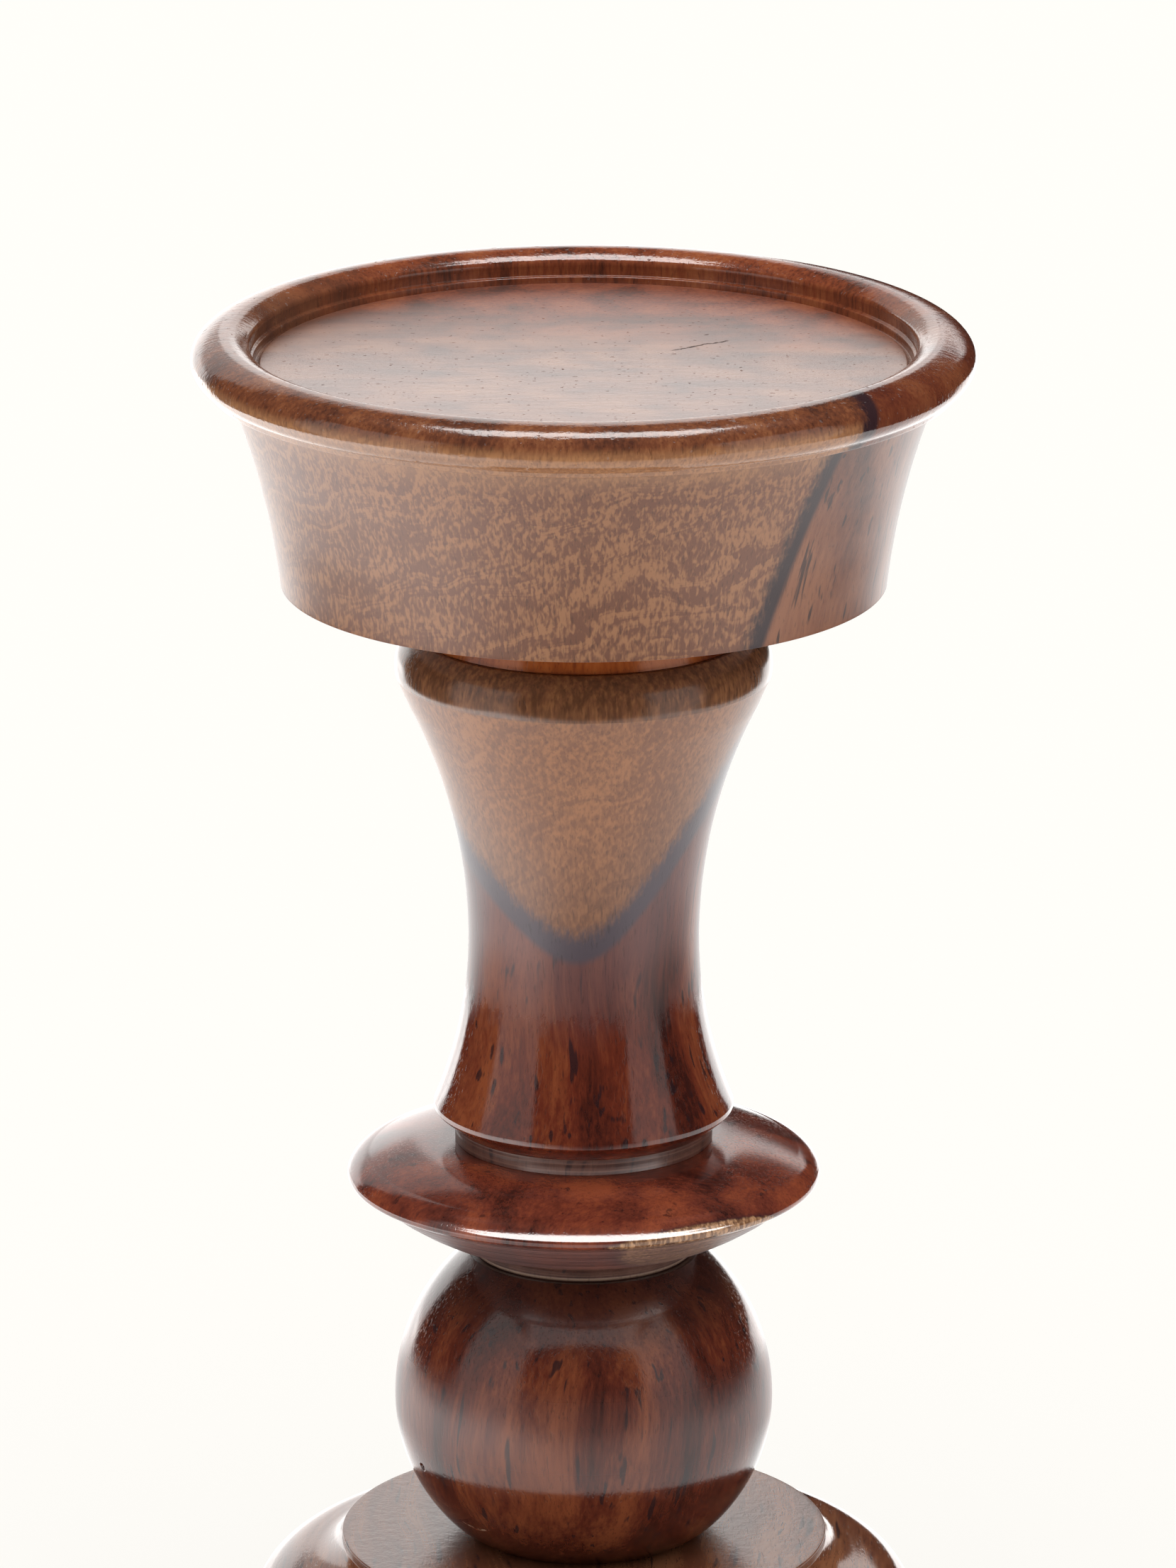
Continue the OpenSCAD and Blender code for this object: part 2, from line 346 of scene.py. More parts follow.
def ball_seat_piece():
    low, high = ball_top, collar_bottom
    outline = [(ROD_BORE_R, low - SPIGOT_H), (SPIGOT_R, low - SPIGOT_H), (SPIGOT_R, low)]
    outline += bow((15.3, low), (17.2, high - 1.1), -0.35, 16)
    outline += [(17.2, high), (SPIGOT_R, high), (SPIGOT_R, high + SPIGOT_H),
                (ROD_BORE_R, high + SPIGOT_H), (ROD_BORE_R, low - SPIGOT_H)]
    outline = spaced(rounded(outline, 0.15), 0.2)
    outline = tool_lines(outline, low + 0.3, high - 1.2, 0.03, 0.9, 6, least_r=14)
    return lathe("ball_seat_ring_wood", outline[:-1])


PIN_HOLE = {"azimuth": -62.3, "z": 43.8, "r": 0.55, "depth": 1.6}


def ball_piece():
    middle = (ball_r, ball_top - 21.5)
    cheek = (ball_r - 6.4, middle[1] - 16.7)
    seat, crown = ball_r - 11.4, ball_r - 10.3
    outline = [(ROD_BORE_R, ball_top - SOCKET_H), (ROD_BORE_R, ball_foot), (SPIGOT_R, ball_foot),
               (SPIGOT_R, base_top)]
    outline += bow((seat, base_top), cheek, 0.3, 14)
    outline += flare(middle, cheek, 40)[::-1]
    outline += flare(middle, (crown, ball_top), 50)
    outline += [(SOCKET_R, ball_top), (SOCKET_R, ball_top - SOCKET_H),
                (ROD_BORE_R, ball_top - SOCKET_H)]
    outline = spaced(rounded(outline, 0.15), 0.6)
    near_hole = [p for p in outline if abs(p[1] - PIN_HOLE["z"]) < 1.2 and p[0] > 20]
    fine = spaced(near_hole, 0.12)
    start = outline.index(near_hole[0])
    outline[start:start + len(near_hole)] = fine
    turn = math.radians(PIN_HOLE["azimuth"])
    hole_r = near_hole[len(near_hole) // 2][0]
    hole = np.array([hole_r * math.sin(turn), -hole_r * math.cos(turn), PIN_HOLE["z"]])
    out_of_round = wobble(0.03, 7)

    def shift(points):
        points = out_of_round(points)
        outer = np.hypot(points[:, 0], points[:, 1]) > ball_r - 10
        gap = np.linalg.norm(points - hole, axis=1) / PIN_HOLE["r"]
        push = np.where(outer, PIN_HOLE["depth"] * np.clip(1 - gap ** 2, 0, 1) ** 0.5, 0)
        inward = -(points - [0, 0, middle[1]])
        inward /= np.maximum(np.linalg.norm(inward, axis=1), 1e-6)[:, None]
        return points + inward * push[:, None]

    return lathe("ball_wood", outline[:-1], extra=[(PIN_HOLE["azimuth"], 2.2, 16)], shift=shift)


def base_piece():
    nut_pocket_r, nut_pocket_h = 14, 12
    disc_r, disc_t = 34.2, 1.2
    shoulder_r = 8.5
    shoulder = (disc_r + 4.3, base_top - 12.5)
    toe = (foot_r - 3.3, felt_top + 3.4)
    outline = [(ROD_BORE_R, felt_top + nut_pocket_h), (nut_pocket_r, felt_top + nut_pocket_h),
               (nut_pocket_r, felt_top), (toe[0] + 1, felt_top)]
    outline += oval(toe, 3.3, 3.3, -65, 85, 40)
    outline += bow((toe[0] - 0.8, felt_top + 6.5), (shoulder[0] + 6.1, shoulder[1] - 5.4), -0.5, 20)
    outline += arc(shoulder, shoulder_r, -32, 84, 50)
    outline += bow((shoulder[0], shoulder[1] + shoulder_r + 0.1), (disc_r, base_top - disc_t),
                   -0.6, 16)
    outline += [(disc_r, base_top), (SOCKET_R, base_top), (SOCKET_R, base_top - SOCKET_H),
                (ROD_BORE_R, base_top - SOCKET_H), (ROD_BORE_R, felt_top + nut_pocket_h)]
    outline = spaced(rounded(outline, 0.2), 0.6)
    return lathe("base_wood", outline[:-1], shift=wobble(0.03, 8))


# ---------------------------------------------------------------- materials


class Shader:
    """A node material being built. Its methods take sockets or plain values, and return sockets."""

    def __init__(self, name):
        self.material = bpy.data.materials.new(name)
        self.material.use_nodes = True
        self.tree = self.material.node_tree
        self.tree.nodes.clear()
        self.out = self.tree.nodes.new("ShaderNodeOutputMaterial")
        self.surface = self.tree.nodes.new("ShaderNodeBsdfPrincipled")
        self.tree.links.new(self.surface.outputs["BSDF"], self.out.inputs["Surface"])

    def give(self, socket, value):
        if isinstance(value, bpy.types.NodeSocket):
            self.tree.links.new(value, socket)
        elif value is not None:
            if socket.type == "RGBA" and len(value) == 3:
                value = (*value, 1)
            socket.default_value = value

    def add(self, kind, inputs, **props):
        node = self.tree.nodes.new(kind)
        for key, value in props.items():
            setattr(node, key, value)
        for key, value in inputs.items():
            self.give(node.inputs[key], value)
        return node

    def math(self, operation, a, b=None):
        return self.add("ShaderNodeMath", {0: a, 1: b}, operation=operation).outputs[0]

    def plus(self, a, b):
        return self.math("ADD", a, b)

    def less(self, a, b):
        return self.math("SUBTRACT", a, b)

    def times(self, a, b):
        return self.math("MULTIPLY", a, b)

    def vector(self, operation, a, b=None):
        node = self.add("ShaderNodeVectorMath", {0: a}, operation=operation)
        if operation == "SCALE":
            self.give(node.inputs["Scale"], b)
        elif b is not None:
            self.give(node.inputs[1], b)
        return node.outputs["Value" if operation in ("DOT_PRODUCT", "LENGTH") else "Vector"]

    def along(self, place, way):
        """How far a place lies along a way from the origin, when the way has a length of 1."""
        return self.vector("DOT_PRODUCT", place, way)

    def millimetres(self):
        place = self.add("ShaderNodeTexCoord", {}).outputs["Object"]
        return self.vector("SCALE", place, 1000.0)

    def noise(self, place, scale, detail=2.0, roughness=0.5, distortion=0.0, colour=False):
        node = self.add("ShaderNodeTexNoise", {"Vector": place, "Scale": scale, "Detail": detail,
                        "Roughness": roughness, "Distortion": distortion})
        return node.outputs["Color" if colour else 0]

    def noise_line(self, way, scale, detail=2.0, roughness=0.5):
        node = self.add("ShaderNodeTexNoise", {"W": way, "Scale": scale, "Detail": detail,
                        "Roughness": roughness}, noise_dimensions="1D")
        return node.outputs[0]

    def step(self, value, low, high, to_low=0.0, to_high=1.0):
        node = self.add("ShaderNodeMapRange", {"Value": value, "From Min": low, "From Max": high,
                        "To Min": to_low, "To Max": to_high}, interpolation_type="SMOOTHSTEP")
        return node.outputs[0]

    def mix(self, fac, a, b):
        """Colour a where fac is 0, and b where it is 1."""
        node = self.add("ShaderNodeMix", {0: fac}, data_type="RGBA")
        self.give(node.inputs[6], a)
        self.give(node.inputs[7], b)
        return node.outputs[2]

    def ramp(self, fac, stops):
        node = self.add("ShaderNodeValToRGB", {"Fac": fac})
        band = node.color_ramp
        while len(band.elements) < len(stops):
            band.elements.new(0.5)
        for element, (at, colour) in zip(band.elements, stops):
            element.position = at
            element.color = (*colour, 1)
        return node.outputs["Color"]

    def bump(self, height, distance):
        node = self.add("ShaderNodeBump", {"Height": height, "Distance": distance, "Strength": 1.0})
        return node.outputs["Normal"]


class Wood(Shader):
    """Lacquered wood, cut from a block with its own figure. Colours are linear, from dark to light.

    The fibres run along Z, after the block is turned by lean (radians).
    """

    def __init__(self, name, seed, heart, sap=None, lean=(0, 0, 0), streak=0.55, dashes=0.8,
                 ticks=1.0, ripple=0.1, slant=(-0.42, 0.1, 1)):
        super().__init__(name)
        self.place = self.millimetres()
        turned = self.place
        if any(lean):
            turned = self.add("ShaderNodeVectorRotate", {"Vector": turned, "Rotation": lean},
                              rotation_type="EULER_XYZ").outputs[0]
        self.own = self.vector("ADD", turned, (seed * 37.0, seed * 19.0, seed * 53.0))
        drift = self.grain((1, 1, 0.5), 0.05, 1, colour=True)
        drift = self.vector("MULTIPLY", self.vector("SUBTRACT", drift, (0.5, 0.5, 0.5)), (11, 11, 0))
        self.fibre = self.vector("ADD", self.own, drift)
        self.fine = self.noise(self.vector("MULTIPLY", self.fibre, (1, 1, 0.06)), 1.5, 3, 0.65)
        self.broad = self.noise(self.vector("MULTIPLY", self.fibre, (1, 1, 0.16)), 0.13, 2, 0.5)
        self.dash = self.noise(self.vector("MULTIPLY", self.fibre, (1, 1, 0.09)), 0.75, 2, 0.5)
        self.pores = self.step(self.grain((1, 1, 0.14), 3.6, 1),
                               0.60, 0.70)
        self.heart_colour = self.heartwood(heart, streak, dashes)
        if sap:
            self.sap_colour = self.sapwood(sap, ticks, ripple, slant)

    def grain(self, stretch, *how, **named):
        """Noise in the wood's own block, finer along an axis the larger its stretch."""
        return self.noise(self.vector("MULTIPLY", self.own, stretch), *how, **named)

    def blend(self, *parts):
        """The sum of field times share over all pairs, with every field centred on nought."""
        total = None
        for field, share in parts:
            term = self.times(self.less(field, 0.5), share)
            total = term if total is None else self.plus(total, term)
        return total

    def heartwood(self, tones, streak, dashes):
        tone = self.plus(self.blend((self.fine, streak), (self.broad, 1.1)), 0.5)
        colour = self.ramp(tone, [(0.22, tones[0]), (0.47, tones[1]), (0.72, tones[2])])
        dark = self.step(self.dash, 0.615, 0.69)
        return self.mix(self.times(dark, dashes), colour, DASH_DARK)

    def sapwood(self, tones, tick_share, ripple_share, slant):
        ticks = self.grain((1, 1, 0.36), 2.0, 1.5, 0.5, 0.35)
        slanted = self.along(self.fibre, slant)
        flow = self.grain((0.5, 0.5, 1), 0.12, 2, 0.5)
        slanted = self.plus(slanted, self.times(flow, 20))
        ripple = self.noise_line(slanted, 0.45, 3, 0.6)
        shade = self.blend((ticks, tick_share), (ripple, ripple_share), (self.broad, 0.3))
        shade = self.plus(shade, 0.5)
        return self.mix(self.step(shade, 0.34, 0.62), tones[1], tones[0])

    def streaky(self):
        """Long soft smears along X, as on a sanded flat."""
        return self.grain((0.12, 1, 1), 0.35, 3, 0.6)

    def height_mm(self):
        return self.along(self.place, (0, 0, 1))


PORE_DARK = (0.012, 0.005, 0.004)
DASH_DARK = (0.013, 0.0065, 0.008)
HEART = ((0.026, 0.0060, 0.0045), (0.085, 0.0162, 0.0078), (0.158, 0.042, 0.016))
SAP = ((0.120, 0.044, 0.022), (0.231, 0.101, 0.043))
EDGE_DARK = (0.024, 0.011, 0.013)


def join_sap(wood, field, ragged, full, gone, edge=EDGE_DARK):
    """Sapwood where field, in millimetres, is positive.

    A dark band begins at nought and has gone by the depth that gone names.
    """
    rag = wood.grain((1, 1, 0.35), 1.3, 3, 0.65)
    rag = wood.times(wood.less(rag, 0.5), ragged * 4)
    colour = wood.mix(wood.step(field, -0.7, 0.9), wood.heart_colour, edge)
    return wood.mix(wood.step(wood.plus(field, rag), full, gone), colour, wood.sap_colour)


def hairline(wood, start, end, half_w):
    """1 along a wavering line between two points in plan, fading to 0 at half_w and at its ends."""
    start, end = np.array(start, float), np.array(end, float)
    length = np.linalg.norm(end - start)
    along = (end - start) / length
    across = (-along[1], along[0], 0)
    here = wood.vector("SUBTRACT", wood.place, tuple(start))
    waver = wood.times(wood.less(wood.noise(wood.own, 0.6, 3, 0.6), 0.5), 1.6)
    off = wood.math("ABSOLUTE", wood.plus(wood.along(here, across), waver))
    travel = wood.along(here, tuple(along))
    inside = wood.times(wood.step(travel, 0, 1), wood.step(travel, length, length - 1))
    return wood.times(wood.step(off, half_w, 0.0), inside)


LACQUER_IOR = 1.5


def lacquer(wood, colour, roughness, grain_bump=0.009, dents=None):
    """Sets the finish: the colour under the lacquer, and a skin that still shows the grain."""
    s = wood.surface.inputs
    colour = wood.mix(wood.times(wood.pores, 0.3), colour, PORE_DARK)
    wood.give(s["Base Color"], colour)
    wood.give(s["Roughness"], roughness)
    s["IOR"].default_value = LACQUER_IOR
    skin = wood.grain((1, 1, 0.45), 2.2, 3, 0.65)
    height = wood.less(skin, wood.times(wood.pores, 0.6))
    if dents is not None:
        height = wood.plus(height, dents)
    wood.give(s["Normal"], wood.bump(height, grain_bump * MM))
    return wood.material


def dish_material():
    heart = ((0.050, 0.015, 0.009), (0.125, 0.040, 0.019), (0.190, 0.072, 0.033))
    # the first colour is a painted light for the dish side under the rim
    painted_light_tone, crack_dark = (0.36, 0.185, 0.088), (0.02, 0.006, 0.004)
    sap_side, sap_start = (1, 0.83, -0.41), -73.5
    wall_r, floor_r = 49.2, 45.6
    crack_start, crack_end = (11.9, 5.7, 0), (20.2, 11.7, 0)

    w = Wood("dish_wood", 1, heart, SAP, ripple=0.75)
    z = w.height_mm()
    # the sapwood lies in front and to the left of a slanting plane
    side = w.less(sap_start, w.along(w.place, sap_side))
    fringe = w.grain((1, 1, 0.2), 1.6, 2, 0.6)
    tone = w.plus(w.blend((fringe, 0.6), (w.broad, 0.9)), 0.5)
    red = w.ramp(tone, [(0.30, (0.045, 0.014, 0.009)), (0.5, (0.112, 0.034, 0.015)),
                        (0.7, (0.185, 0.068, 0.028))])
    wander = w.times(w.less(w.broad, 0.5), 40)
    depth = w.plus(w.along(w.place, (0.2, 1, 0)), wander)
    # both woods redden on the rim and the sapwood also towards the back; under the rim the sapwood is
    # painted paler, a painted light that lifts the shade of the bead's overhang
    on_bead = w.step(z, dish_top - 4, dish_top - 2.2)
    redder = w.math("MAXIMUM", w.step(depth, -24, 25), w.times(on_bead, 0.95))
    below_bead = w.step(z, dish_top - 11.5, dish_top - 7, 0, 0.35)
    w.sap_colour = w.mix(below_bead, w.sap_colour, painted_light_tone)
    w.sap_colour = w.mix(redder, w.sap_colour, red)
    heart_bead = w.step(z, dish_top - 7.4, dish_top - 6)
    w.heart_colour = w.mix(heart_bead, w.heart_colour, w.mix(0.5, red, HEART[1]))
    colour = join_sap(w, side, 1.5, 2.2, 6.2)

    # inside the rim the dark band is lost in brown clouds
    from_axis = w.vector("LENGTH", w.vector("MULTIPLY", w.place, (1, 1, 0)))
    on_top = w.step(z, dish_top - 7.6, dish_top - 6.6)
    clouds = w.ramp(w.plus(w.blend((w.broad, 0.9), (w.streaky(), 0.6)), 0.5),
                    [(0.25, (0.060, 0.024, 0.016)), (0.5, (0.118, 0.044, 0.023)),
                     (0.75, (0.178, 0.076, 0.038))])
    back_red = w.ramp(tone, [(0.30, (0.050, 0.015, 0.009)), (0.5, (0.150, 0.036, 0.015)),
                             (0.7, (0.21, 0.062, 0.024))])
    inside = w.mix(w.step(depth, 8, 40), clouds, back_red)
    colour = w.mix(w.times(w.step(from_axis, wall_r, wall_r - 0.8), on_top), colour, inside)
    on_floor = w.times(w.step(from_axis, floor_r, floor_r - 0.7), on_top)
    crack = w.times(hairline(w, crack_start, crack_end, 0.3), on_floor)
    colour = w.mix(w.times(crack, 0.95), colour, crack_dark)

    # the side is duller than the top, and the floor gets duller towards the back
    rough = w.step(on_top, 0, 1, 0.36, 0.11)
    floor_rough = w.step(w.along(w.place, (0, 1, 0)), -25, 36, 0.07, 0.26)
    rough = w.plus(rough, w.times(on_floor, floor_rough))
    dents = w.times(on_floor, w.grain((0.6, 1.4, 1), 0.55, 3, 0.6))
    dents = w.less(w.times(dents, 2.5), w.times(crack, 3))
    pits = w.times(w.step(w.grain((1, 1.6, 1), 1.1, 1), 0.71, 0.77), on_top)
    dents = w.less(dents, w.times(pits, 4))
    rough = w.plus(rough, w.times(w.math("MAXIMUM", crack, pits), 0.55))
    on_wall = w.less(on_top, on_floor)
    chatter = w.grain((0.35, 1.5, 1.5), 0.8, 3, 0.6)
    dents = w.plus(dents, w.times(w.times(chatter, on_wall), 4))
    return lacquer(w, colour, rough, dents=dents)


def neck_material():
    w = Wood("neck_wood", 2, ((0.12, 0.024, 0.006), (0.24, 0.056, 0.010), (0.32, 0.09, 0.020)),
             dashes=0.3)
    return lacquer(w, w.heart_colour, 0.16)


def stem_material():
    sap = ((0.140, 0.053, 0.023), (0.235, 0.096, 0.037))
    dusky, purple = (0.085, 0.040, 0.024), (0.085, 0.046, 0.052)
    band, brown = (0.046, 0.031, 0.041), (0.060, 0.023, 0.010)
    tip_z, tip_r, spread, tilt = 119.1, 7.0, 1.35, 0.2

    w = Wood("stem_wood", 3, HEART, sap, ticks=0.6, ripple=0.28, slant=(-1.0, 0.2, 0.9))
    z = w.height_mm()
    x = w.along(w.place, (1, 0, 0))
    y = w.along(w.place, (0, 1, 0))
    # the sapwood comes down the front in a tongue with a round tip, and hardly reaches the back
    dip = w.math("SQRT", w.plus(w.times(x, x), tip_r * tip_r))
    dip = w.plus(w.times(w.less(dip, tip_r), spread), w.times(x, tilt))
    field = w.less(w.less(z, tip_z), dip)
    behind = w.math("MAXIMUM", w.plus(y, 2), 0)
    field = w.less(field, w.times(behind, 2.5))
    w.sap_colour = w.mix(w.step(field, 20, 5, 0, 0.3), w.sap_colour, dusky)
    w.heart_colour = w.mix(w.step(field, -16, -1, 0, 0.35), w.heart_colour, purple)
    colour = join_sap(w, field, 1.2, 2.6, 6.0, band)

    # the lower part is glossier, up to a ragged edge, and so is the dome on top
    rag = w.grain((1, 1, 0.5), 0.9, 4, 0.7)
    edge = w.plus(z, w.times(w.less(rag, 0.5), 9))
    rough = w.step(edge, 107, 113, 0.09, 0.36)
    on_dome = w.step(z, stem_top - 6.3, stem_top - 5.9)
    rough = w.plus(rough, w.times(on_dome, -0.18))
    fringe = w.step(w.grain((1, 1, 0.15), 1.3, 2, 0.6), 0.35, 0.65, 0.2, 0.75)
    colour = w.mix(w.times(on_dome, fringe), colour, brown)
    return lacquer(w, colour, rough)


def ring_material():
    """For both seat rings. A painted highlight, a thin pale line, lies on the joint at the foot of the
    lower one.
    """
    scratch, painted_highlight = (0.16, 0.085, 0.062), (0.30, 0.20, 0.15)
    w = Wood("ring_wood", 4, ((0.02, 0.008, 0.007), (0.055, 0.022, 0.016), (0.09, 0.042, 0.03)))
    lines = w.noise_line(w.height_mm(), 3.1, 2, 0.6)
    colour = w.mix(w.step(lines, 0.45, 0.7, 0, 0.5), w.heart_colour, scratch)
    # painted highlight: a thin pale band on the joint where the lower ring sits on the ball
    from_joint_line = w.math("ABSOLUTE", w.less(w.height_mm(), ball_top + 0.35))
    colour = w.mix(w.times(w.step(from_joint_line, 0.3, 0.1), 0.8), colour, painted_highlight)
    return lacquer(w, colour, 0.3)


def collar_material():
    tones = ((0.026, 0.006, 0.0045), (0.105, 0.022, 0.012), (0.19, 0.044, 0.018))
    sap = ((0.12, 0.055, 0.026), (0.34, 0.19, 0.10))
    spot_dark = (0.016, 0.006, 0.006)
    patch_turn, patch_r, patch_z, slope = math.radians(30), 29.9, 83.5, 1.2

    w = Wood("collar_wood", 5, tones, sap, dashes=0.2)
    # a small patch of sapwood on the edge, cut off by a slanting plane
    toward = w.along(w.place, (math.sin(patch_turn), -math.cos(patch_turn), -slope))
    field = w.less(toward, patch_r - slope * patch_z)
    colour = join_sap(w, field, 0.3, 0.2, 0.8)
    spots = w.step(w.noise(w.own, 0.45, 3, 0.6), 0.60, 0.68)
    colour = w.mix(w.times(spots, 0.6), colour, spot_dark)
    # the underside is dull and shows the turning lines
    under = w.step(w.height_mm(), collar_top - 6.4, collar_top - 6.8)
    lines = w.step(w.noise_line(w.height_mm(), 2.6, 2, 0.6), 0.42, 0.6)
    turned_face = w.mix(lines, (0.034, 0.016, 0.015), (0.130, 0.068, 0.062))
    colour = w.mix(w.times(under, 0.65), colour, turned_face)
    return lacquer(w, colour, w.step(under, 0, 1, 0.13, 0.42))


def ball_material():
    tones = ((0.022, 0.0052, 0.0040), (0.069, 0.0140, 0.0072), (0.138, 0.037, 0.0145))
    chip_pale, painted_shade = (0.34, 0.23, 0.16), (0.024, 0.008, 0.006)
    chip_turn, chip_z, chip_r = math.radians(-44), 35.6, 5.2

    w = Wood("ball_wood", 6, tones, streak=0.62)
    z = w.height_mm()
    # the chip is the lowest part of a thin ring on the ball's face
    axis_gap = ball_r - 2.9
    chip = (axis_gap * math.sin(chip_turn), -axis_gap * math.cos(chip_turn), chip_z + chip_r)
    away = w.vector("LENGTH", w.vector("SUBTRACT", w.place, chip))
    ring = w.step(w.math("ABSOLUTE", w.less(away, chip_r)), 0.32, 0.08)
    ring = w.times(ring, w.step(z, chip_z + 1.1, chip_z + 0.6))
    broken = w.step(w.noise(w.own, 1.4, 2), 0.38, 0.52)
    colour = w.mix(w.times(w.times(ring, broken), 0.75), w.heart_colour, chip_pale)
    # painted shade: the ball's colour darkens towards its top, where the collar above shades it
    collar_shade_mask = w.step(z, ball_top - 10, ball_top - 3, 0, 0.62)
    colour = w.mix(collar_shade_mask, colour, painted_shade)
    # the lacquer is duller round the middle, so the mirrored floor has no sharp upper edge there
    dull = w.times(w.step(z, 62, 56), w.step(z, 44, 50))
    rough = w.plus(w.times(dull, 0.22), 0.12)
    return lacquer(w, colour, rough, grain_bump=0.013, dents=w.times(ring, -6))


def base_material():
    tones = ((0.036, 0.012, 0.008), (0.096, 0.032, 0.016), (0.160, 0.062, 0.029))
    w = Wood("base_wood", 7, tones, lean=(math.pi / 2, 0, math.radians(33)))
    # the raised disc is duller and a little rumpled
    rough = w.step(w.height_mm(), base_top - 1.3, base_top - 0.1, 0.1, 0.25)
    on_disc = w.step(w.height_mm(), base_top - 0.6, base_top - 0.1)
    rumples = w.times(w.grain((1, 0.6, 1), 0.7, 3, 0.6), on_disc)
    return lacquer(w, w.heart_colour, rough, dents=w.times(rumples, 5))


def felt_material():
    k = Shader("felt")
    place = k.millimetres()
    fibres = k.noise(place, 3.0, 4, 0.7, 1.5)
    clouds = k.noise(place, 0.2, 2)
    colour = k.mix(fibres, (0.012, 0.035, 0.018), (0.05, 0.11, 0.06))
    colour = k.mix(k.times(clouds, 0.5), colour, (0.02, 0.05, 0.03))
    s = k.surface.inputs
    k.give(s["Base Color"], colour)
    s["Roughness"].default_value = 0.95
    s["Sheen Weight"].default_value = 0.4
    k.give(s["Normal"], k.bump(fibres, 0.25 * MM))
    return k.material


def metal_material(name, dark, light, roughness):
    k = Shader(name)
    place = k.millimetres()
    marks = k.noise(k.vector("MULTIPLY", place, (0.3, 0.3, 6)), 2.0, 3, 0.6)
    s = k.surface.inputs
    k.give(s["Base Color"], k.mix(marks, dark, light))
    s["Metallic"].default_value = 1.0
    k.give(s["Roughness"], k.step(marks, 0.3, 0.7, roughness - 0.06, roughness + 0.08))
    k.give(s["Normal"], k.bump(marks, 0.02 * MM))
    return k.material


# ---------------------------------------------------------------- the pieces

add_camera()
ring_wood = ring_material()
turned = {
    "dish": (dish_piece(), "dish_wood", dish_material()),
    "neck_ring": (neck_piece(), "neck_wood", neck_material()),
    "stem": (stem_piece(), "stem_wood", stem_material()),
    "stem_seat_ring": (stem_seat_piece(), "ring_wood", ring_wood),
    "collar": (collar_piece(), "collar_wood", collar_material()),
    "ball_seat_ring": (ball_seat_piece(), "ring_wood", ring_wood),
    "ball": (ball_piece(), "ball_wood", ball_material()),
    "base": (base_piece(), "base_wood", base_material()),
}
for node, (piece, slot, material) in turned.items():
    piece.data.materials.append(material)
    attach(piece, "root")
    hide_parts(node)

steel = metal_material("zinc_steel", (0.50, 0.51, 0.53), (0.66, 0.66, 0.67), 0.32)
brass = metal_material("turned_brass", (0.66, 0.46, 0.18), (0.82, 0.62, 0.28), 0.26)
for node, material in {"tie_rod": steel, "flat_washer": steel, "spring_washer": steel,
                       "hex_nut": steel, "dish_insert": brass, "base_felt": felt_material()}.items():
    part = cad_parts[node]
    part.data.materials.clear()
    part.data.materials.append(material)

# ---------------------------------------------------------------- stage and light

WARM_WHITE = (1.0, 0.99, 0.975)
SKY_LOW, SKY_HIGH = 0.1, 2.75
CREAM = (1.0, 0.985, 0.945)
FLOOR_SEEN = (0.170, 0.1675, 0.1610)
FLOOR_SEEN_GLOW = 4.08
FLOOR_LIT = (0.92, 0.91, 0.895)
FLOOR_GLOSS, FLOOR_GLOSS_BEHIND, FLOOR_GLOSS_LEFT, FLOOR_GLOSS_RIGHT = 1.65, 1.1, 2.8, 0.6
FLOOR_HALF_W = 6
# the floors lie just under the felt and apart, so no two faces share a plane
FLOOR_SEEN_Z, FLOOR_GLOSS_Z, FLOOR_LIT_Z = -0.0001, -0.0002, -0.0004


def stage_plane(name, corners, material, hidden):
    """A flat stage piece, unseen by the named kinds of ray."""
    mesh = bpy.data.meshes.new(name)
    mesh.from_pydata(corners, [], [(0, 1, 2, 3)])
    mesh.materials.append(material)
    plane = bpy.data.objects.new(name, mesh)
    bpy.context.scene.collection.objects.link(plane)
    for kind in hidden:
        setattr(plane, "visible_" + kind, False)


def matt(name, colour, own_glow=0.0):
    k = Shader(name)
    k.give(k.surface.inputs["Emission Color"], colour)
    k.surface.inputs["Emission Strength"].default_value = own_glow
    k.give(k.surface.inputs["Base Color"], colour)
    k.surface.inputs["Roughness"].default_value = 1
    k.surface.inputs["Specular IOR Level"].default_value = 0
    return k.material


def glow_shader(name, strength):
    k = Shader(name)
    k.give(k.surface.inputs["Base Color"], (0, 0, 0))
    k.surface.inputs["Specular IOR Level"].default_value = 0
    k.give(k.surface.inputs["Emission Color"], WARM_WHITE)
    k.surface.inputs["Emission Strength"].default_value = strength
    return k


def glow(name, strength):
    return glow_shader(name, strength).material


def gloss_floor_material():
    """What the lacquer mirrors of the floor: brightest on the left, and fading towards the front."""
    k = glow_shader("floor_gloss", 1.0)
    place = k.add("ShaderNodeTexCoord", {}).outputs["Object"]
    behind = k.step(k.along(place, (0, 1, 0)), 0.0, 0.35, 0, FLOOR_GLOSS_BEHIND)
    left = k.step(k.along(place, (-1, -0.3, 0)), 0.05, 0.30, 0, FLOOR_GLOSS_LEFT)
    right = k.step(k.along(place, (1, -0.3, 0)), 0.08, 0.35, 0, FLOOR_GLOSS_RIGHT)
    side = k.math("MAXIMUM", left, right)
    total = k.plus(k.math("MAXIMUM", behind, side), FLOOR_GLOSS)
    near_edge = k.step(k.along(place, (0, 1, 0)), -0.34, -0.17)
    total = k.times(total, near_edge)
    k.give(k.surface.inputs["Emission Strength"], total)
    return k.material


GLOSS_ONLY = ("camera", "diffuse", "shadow", "transmission")


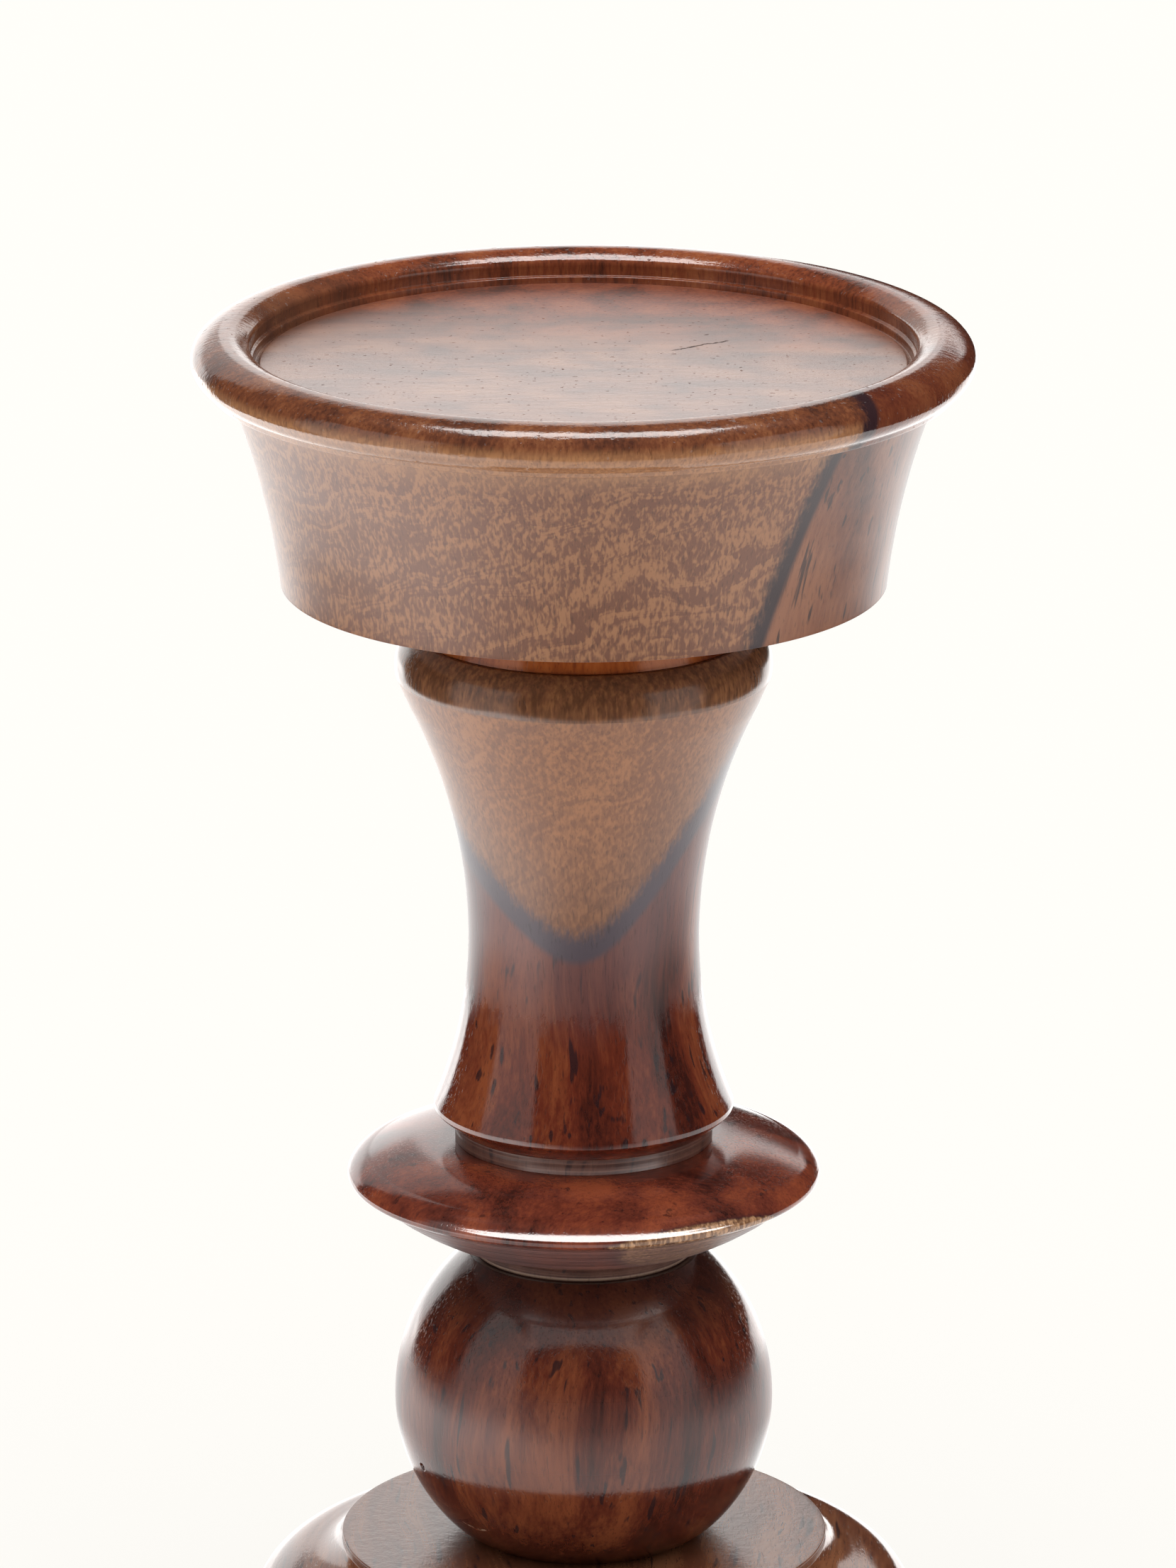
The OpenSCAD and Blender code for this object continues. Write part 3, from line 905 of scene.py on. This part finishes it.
def floors():
    """One floor each for what the camera sees, what lights the object and what its gloss mirrors."""
    s = FLOOR_HALF_W

    def corners(z):
        return [(-s, -s, z), (s, -s, z), (s, s, z), (-s, s, z)]

    stage_plane("floor", corners(FLOOR_SEEN_Z), matt("pale_floor", FLOOR_SEEN, FLOOR_SEEN_GLOW),
                ("diffuse", "glossy", "transmission", "shadow"))
    stage_plane("floor_light", corners(FLOOR_LIT_Z), matt("bright_floor", FLOOR_LIT),
                ("camera", "glossy"))
    stage_plane("floor_gloss", corners(FLOOR_GLOSS_Z), gloss_floor_material(), GLOSS_ONLY)


def upright(x0, y0, x1, y1, low, high):
    """The corners of an upright sheet between two places in plan."""
    return [(x0, y0, low), (x1, y1, low), (x1, y1, high), (x0, y0, high)]


def cards():
    """A dark room with a few bright panels, which only the object's gloss shows."""
    dark = matt("black_card", (0.01, 0.01, 0.01))
    roof, roof_half_w, panel_top = 1.4, 1.3, 0.42
    front, side, widening, back, back_half_w = -0.34, 0.34, 0.365, 1.0, 1.2
    walls = {
        "front": (-0.295, front, 0.265, front),
        "front_left": (-0.295, front, -side, -0.04),
        "front_right": (0.265, front, side, -0.10),
        "left": (-side, -0.04, -side, widening),
        "right": (side, -0.10, side, widening),
        "far_left": (-side, widening, -back_half_w, back),
        "far_right": (side, widening, back_half_w, back),
        "back": (-back_half_w, back, back_half_w, back),
    }
    for name, ends in walls.items():
        stage_plane("card_" + name, upright(*ends, 0, roof), dark, GLOSS_ONLY)
    w = roof_half_w
    roof_corners = [(-w, -0.4, roof), (w, -0.4, roof), (w, 1.1, roof), (-w, 1.1, roof)]
    stage_plane("card_roof", roof_corners, dark, GLOSS_ONLY)
    side_glow = glow("side_panel", 1.0)
    sides = {"left": (-0.335, -0.035, -0.295, -0.335), "right": (0.335, -0.095, 0.265, -0.335)}
    for name, ends in sides.items():
        stage_plane("panel_" + name, upright(*ends, 0, panel_top), side_glow, GLOSS_ONLY)
    # each panel's left and right ends, foot and top, and strength
    backs = {
        "low": (-1.1, 0.06, 0, 0.37, 2.2),
        "middle": (-0.16, 0.14, 0.37, 1.0, 1.85),
        "right": (0.14, 0.45, 0.37, 0.50, 1.85),
        "left": (-1.1, -0.16, 0.37, 1.0, 0.8),
    }
    for name, (x0, x1, low, high, strength) in backs.items():
        stage_plane("panel_back_" + name, upright(x0, back - 0.01, x1, back - 0.01, low, high),
                    glow("back_glow_" + name, strength), GLOSS_ONLY)


def area_light(name, place, aim, size, radiance, only):
    """A lamp out of view that only the gloss of the listed nodes' pieces shows."""
    data = bpy.data.lights.new(name, "AREA")
    data.shape = "RECTANGLE"
    data.size, data.size_y = size
    data.energy = radiance * math.pi * size[0] * size[1]
    data.color = (1.0, 0.99, 0.98)
    light = bpy.data.objects.new(name, data)
    light.location = place
    light.rotation_euler = (Vector(aim) - Vector(place)).to_track_quat("-Z", "Y").to_euler()
    light.visible_camera = False
    light.visible_diffuse = False
    bpy.context.scene.collection.objects.link(light)
    lit = bpy.data.collections.new(name + "_receivers")
    for node in only:
        lit.objects.link(turned[node][0])
    light.light_linking.receiver_collection = lit


def sky():
    """A room that is dim at eye level and bright overhead."""
    world = bpy.data.worlds.new("studio")
    bpy.context.scene.world = world
    world.use_nodes = True
    tree = world.node_tree
    background = tree.nodes["Background"]
    way = tree.nodes.new("ShaderNodeTexCoord")
    split = tree.nodes.new("ShaderNodeSeparateXYZ")
    climb = tree.nodes.new("ShaderNodeMapRange")
    climb.inputs["To Min"].default_value = SKY_LOW
    climb.inputs["To Max"].default_value = SKY_HIGH
    tree.links.new(way.outputs["Generated"], split.inputs[0])
    tree.links.new(split.outputs["Z"], climb.inputs["Value"])
    tree.links.new(climb.outputs[0], background.inputs["Strength"])
    background.inputs["Color"].default_value = (*WARM_WHITE, 1)
    # the camera sees the floor's own cream beyond the floor's edge
    cream = tree.nodes.new("ShaderNodeBackground")
    cream.inputs["Color"].default_value = (*CREAM, 1)
    pick = tree.nodes.new("ShaderNodeMixShader")
    tree.links.new(tree.nodes.new("ShaderNodeLightPath").outputs["Is Camera Ray"], pick.inputs["Fac"])
    tree.links.new(background.outputs[0], pick.inputs[1])
    tree.links.new(cream.outputs[0], pick.inputs[2])
    tree.links.new(pick.outputs[0], tree.nodes["World Output"].inputs["Surface"])


floors()
cards()
sky()
all_but_dish = [node for node in turned if node != "dish"]
area_light("overhead_strip", place=(-0.05, 0.28, 1.2), aim=(0, 0, 0.15), size=(1.1, 0.10),
           radiance=14, only=all_but_dish)
area_light("ball_window_top", place=(0, -0.30, 0.42), aim=(0, 0, 0.06), size=(0.66, 0.18),
           radiance=1.1, only=["ball"])
area_light("collar_edge_light", place=(0.07, -0.12, 0.17), aim=(0.07, -0.033, 0.083),
           size=(0.48, 0.09), radiance=24, only=["collar"])
area_light("dish_strip", place=(0, 0.10, 1.2), aim=(0, 0, 0.2), size=(1.1, 0.38),
           radiance=12, only=["dish"])
bpy.context.scene.view_settings.view_transform = "Standard"
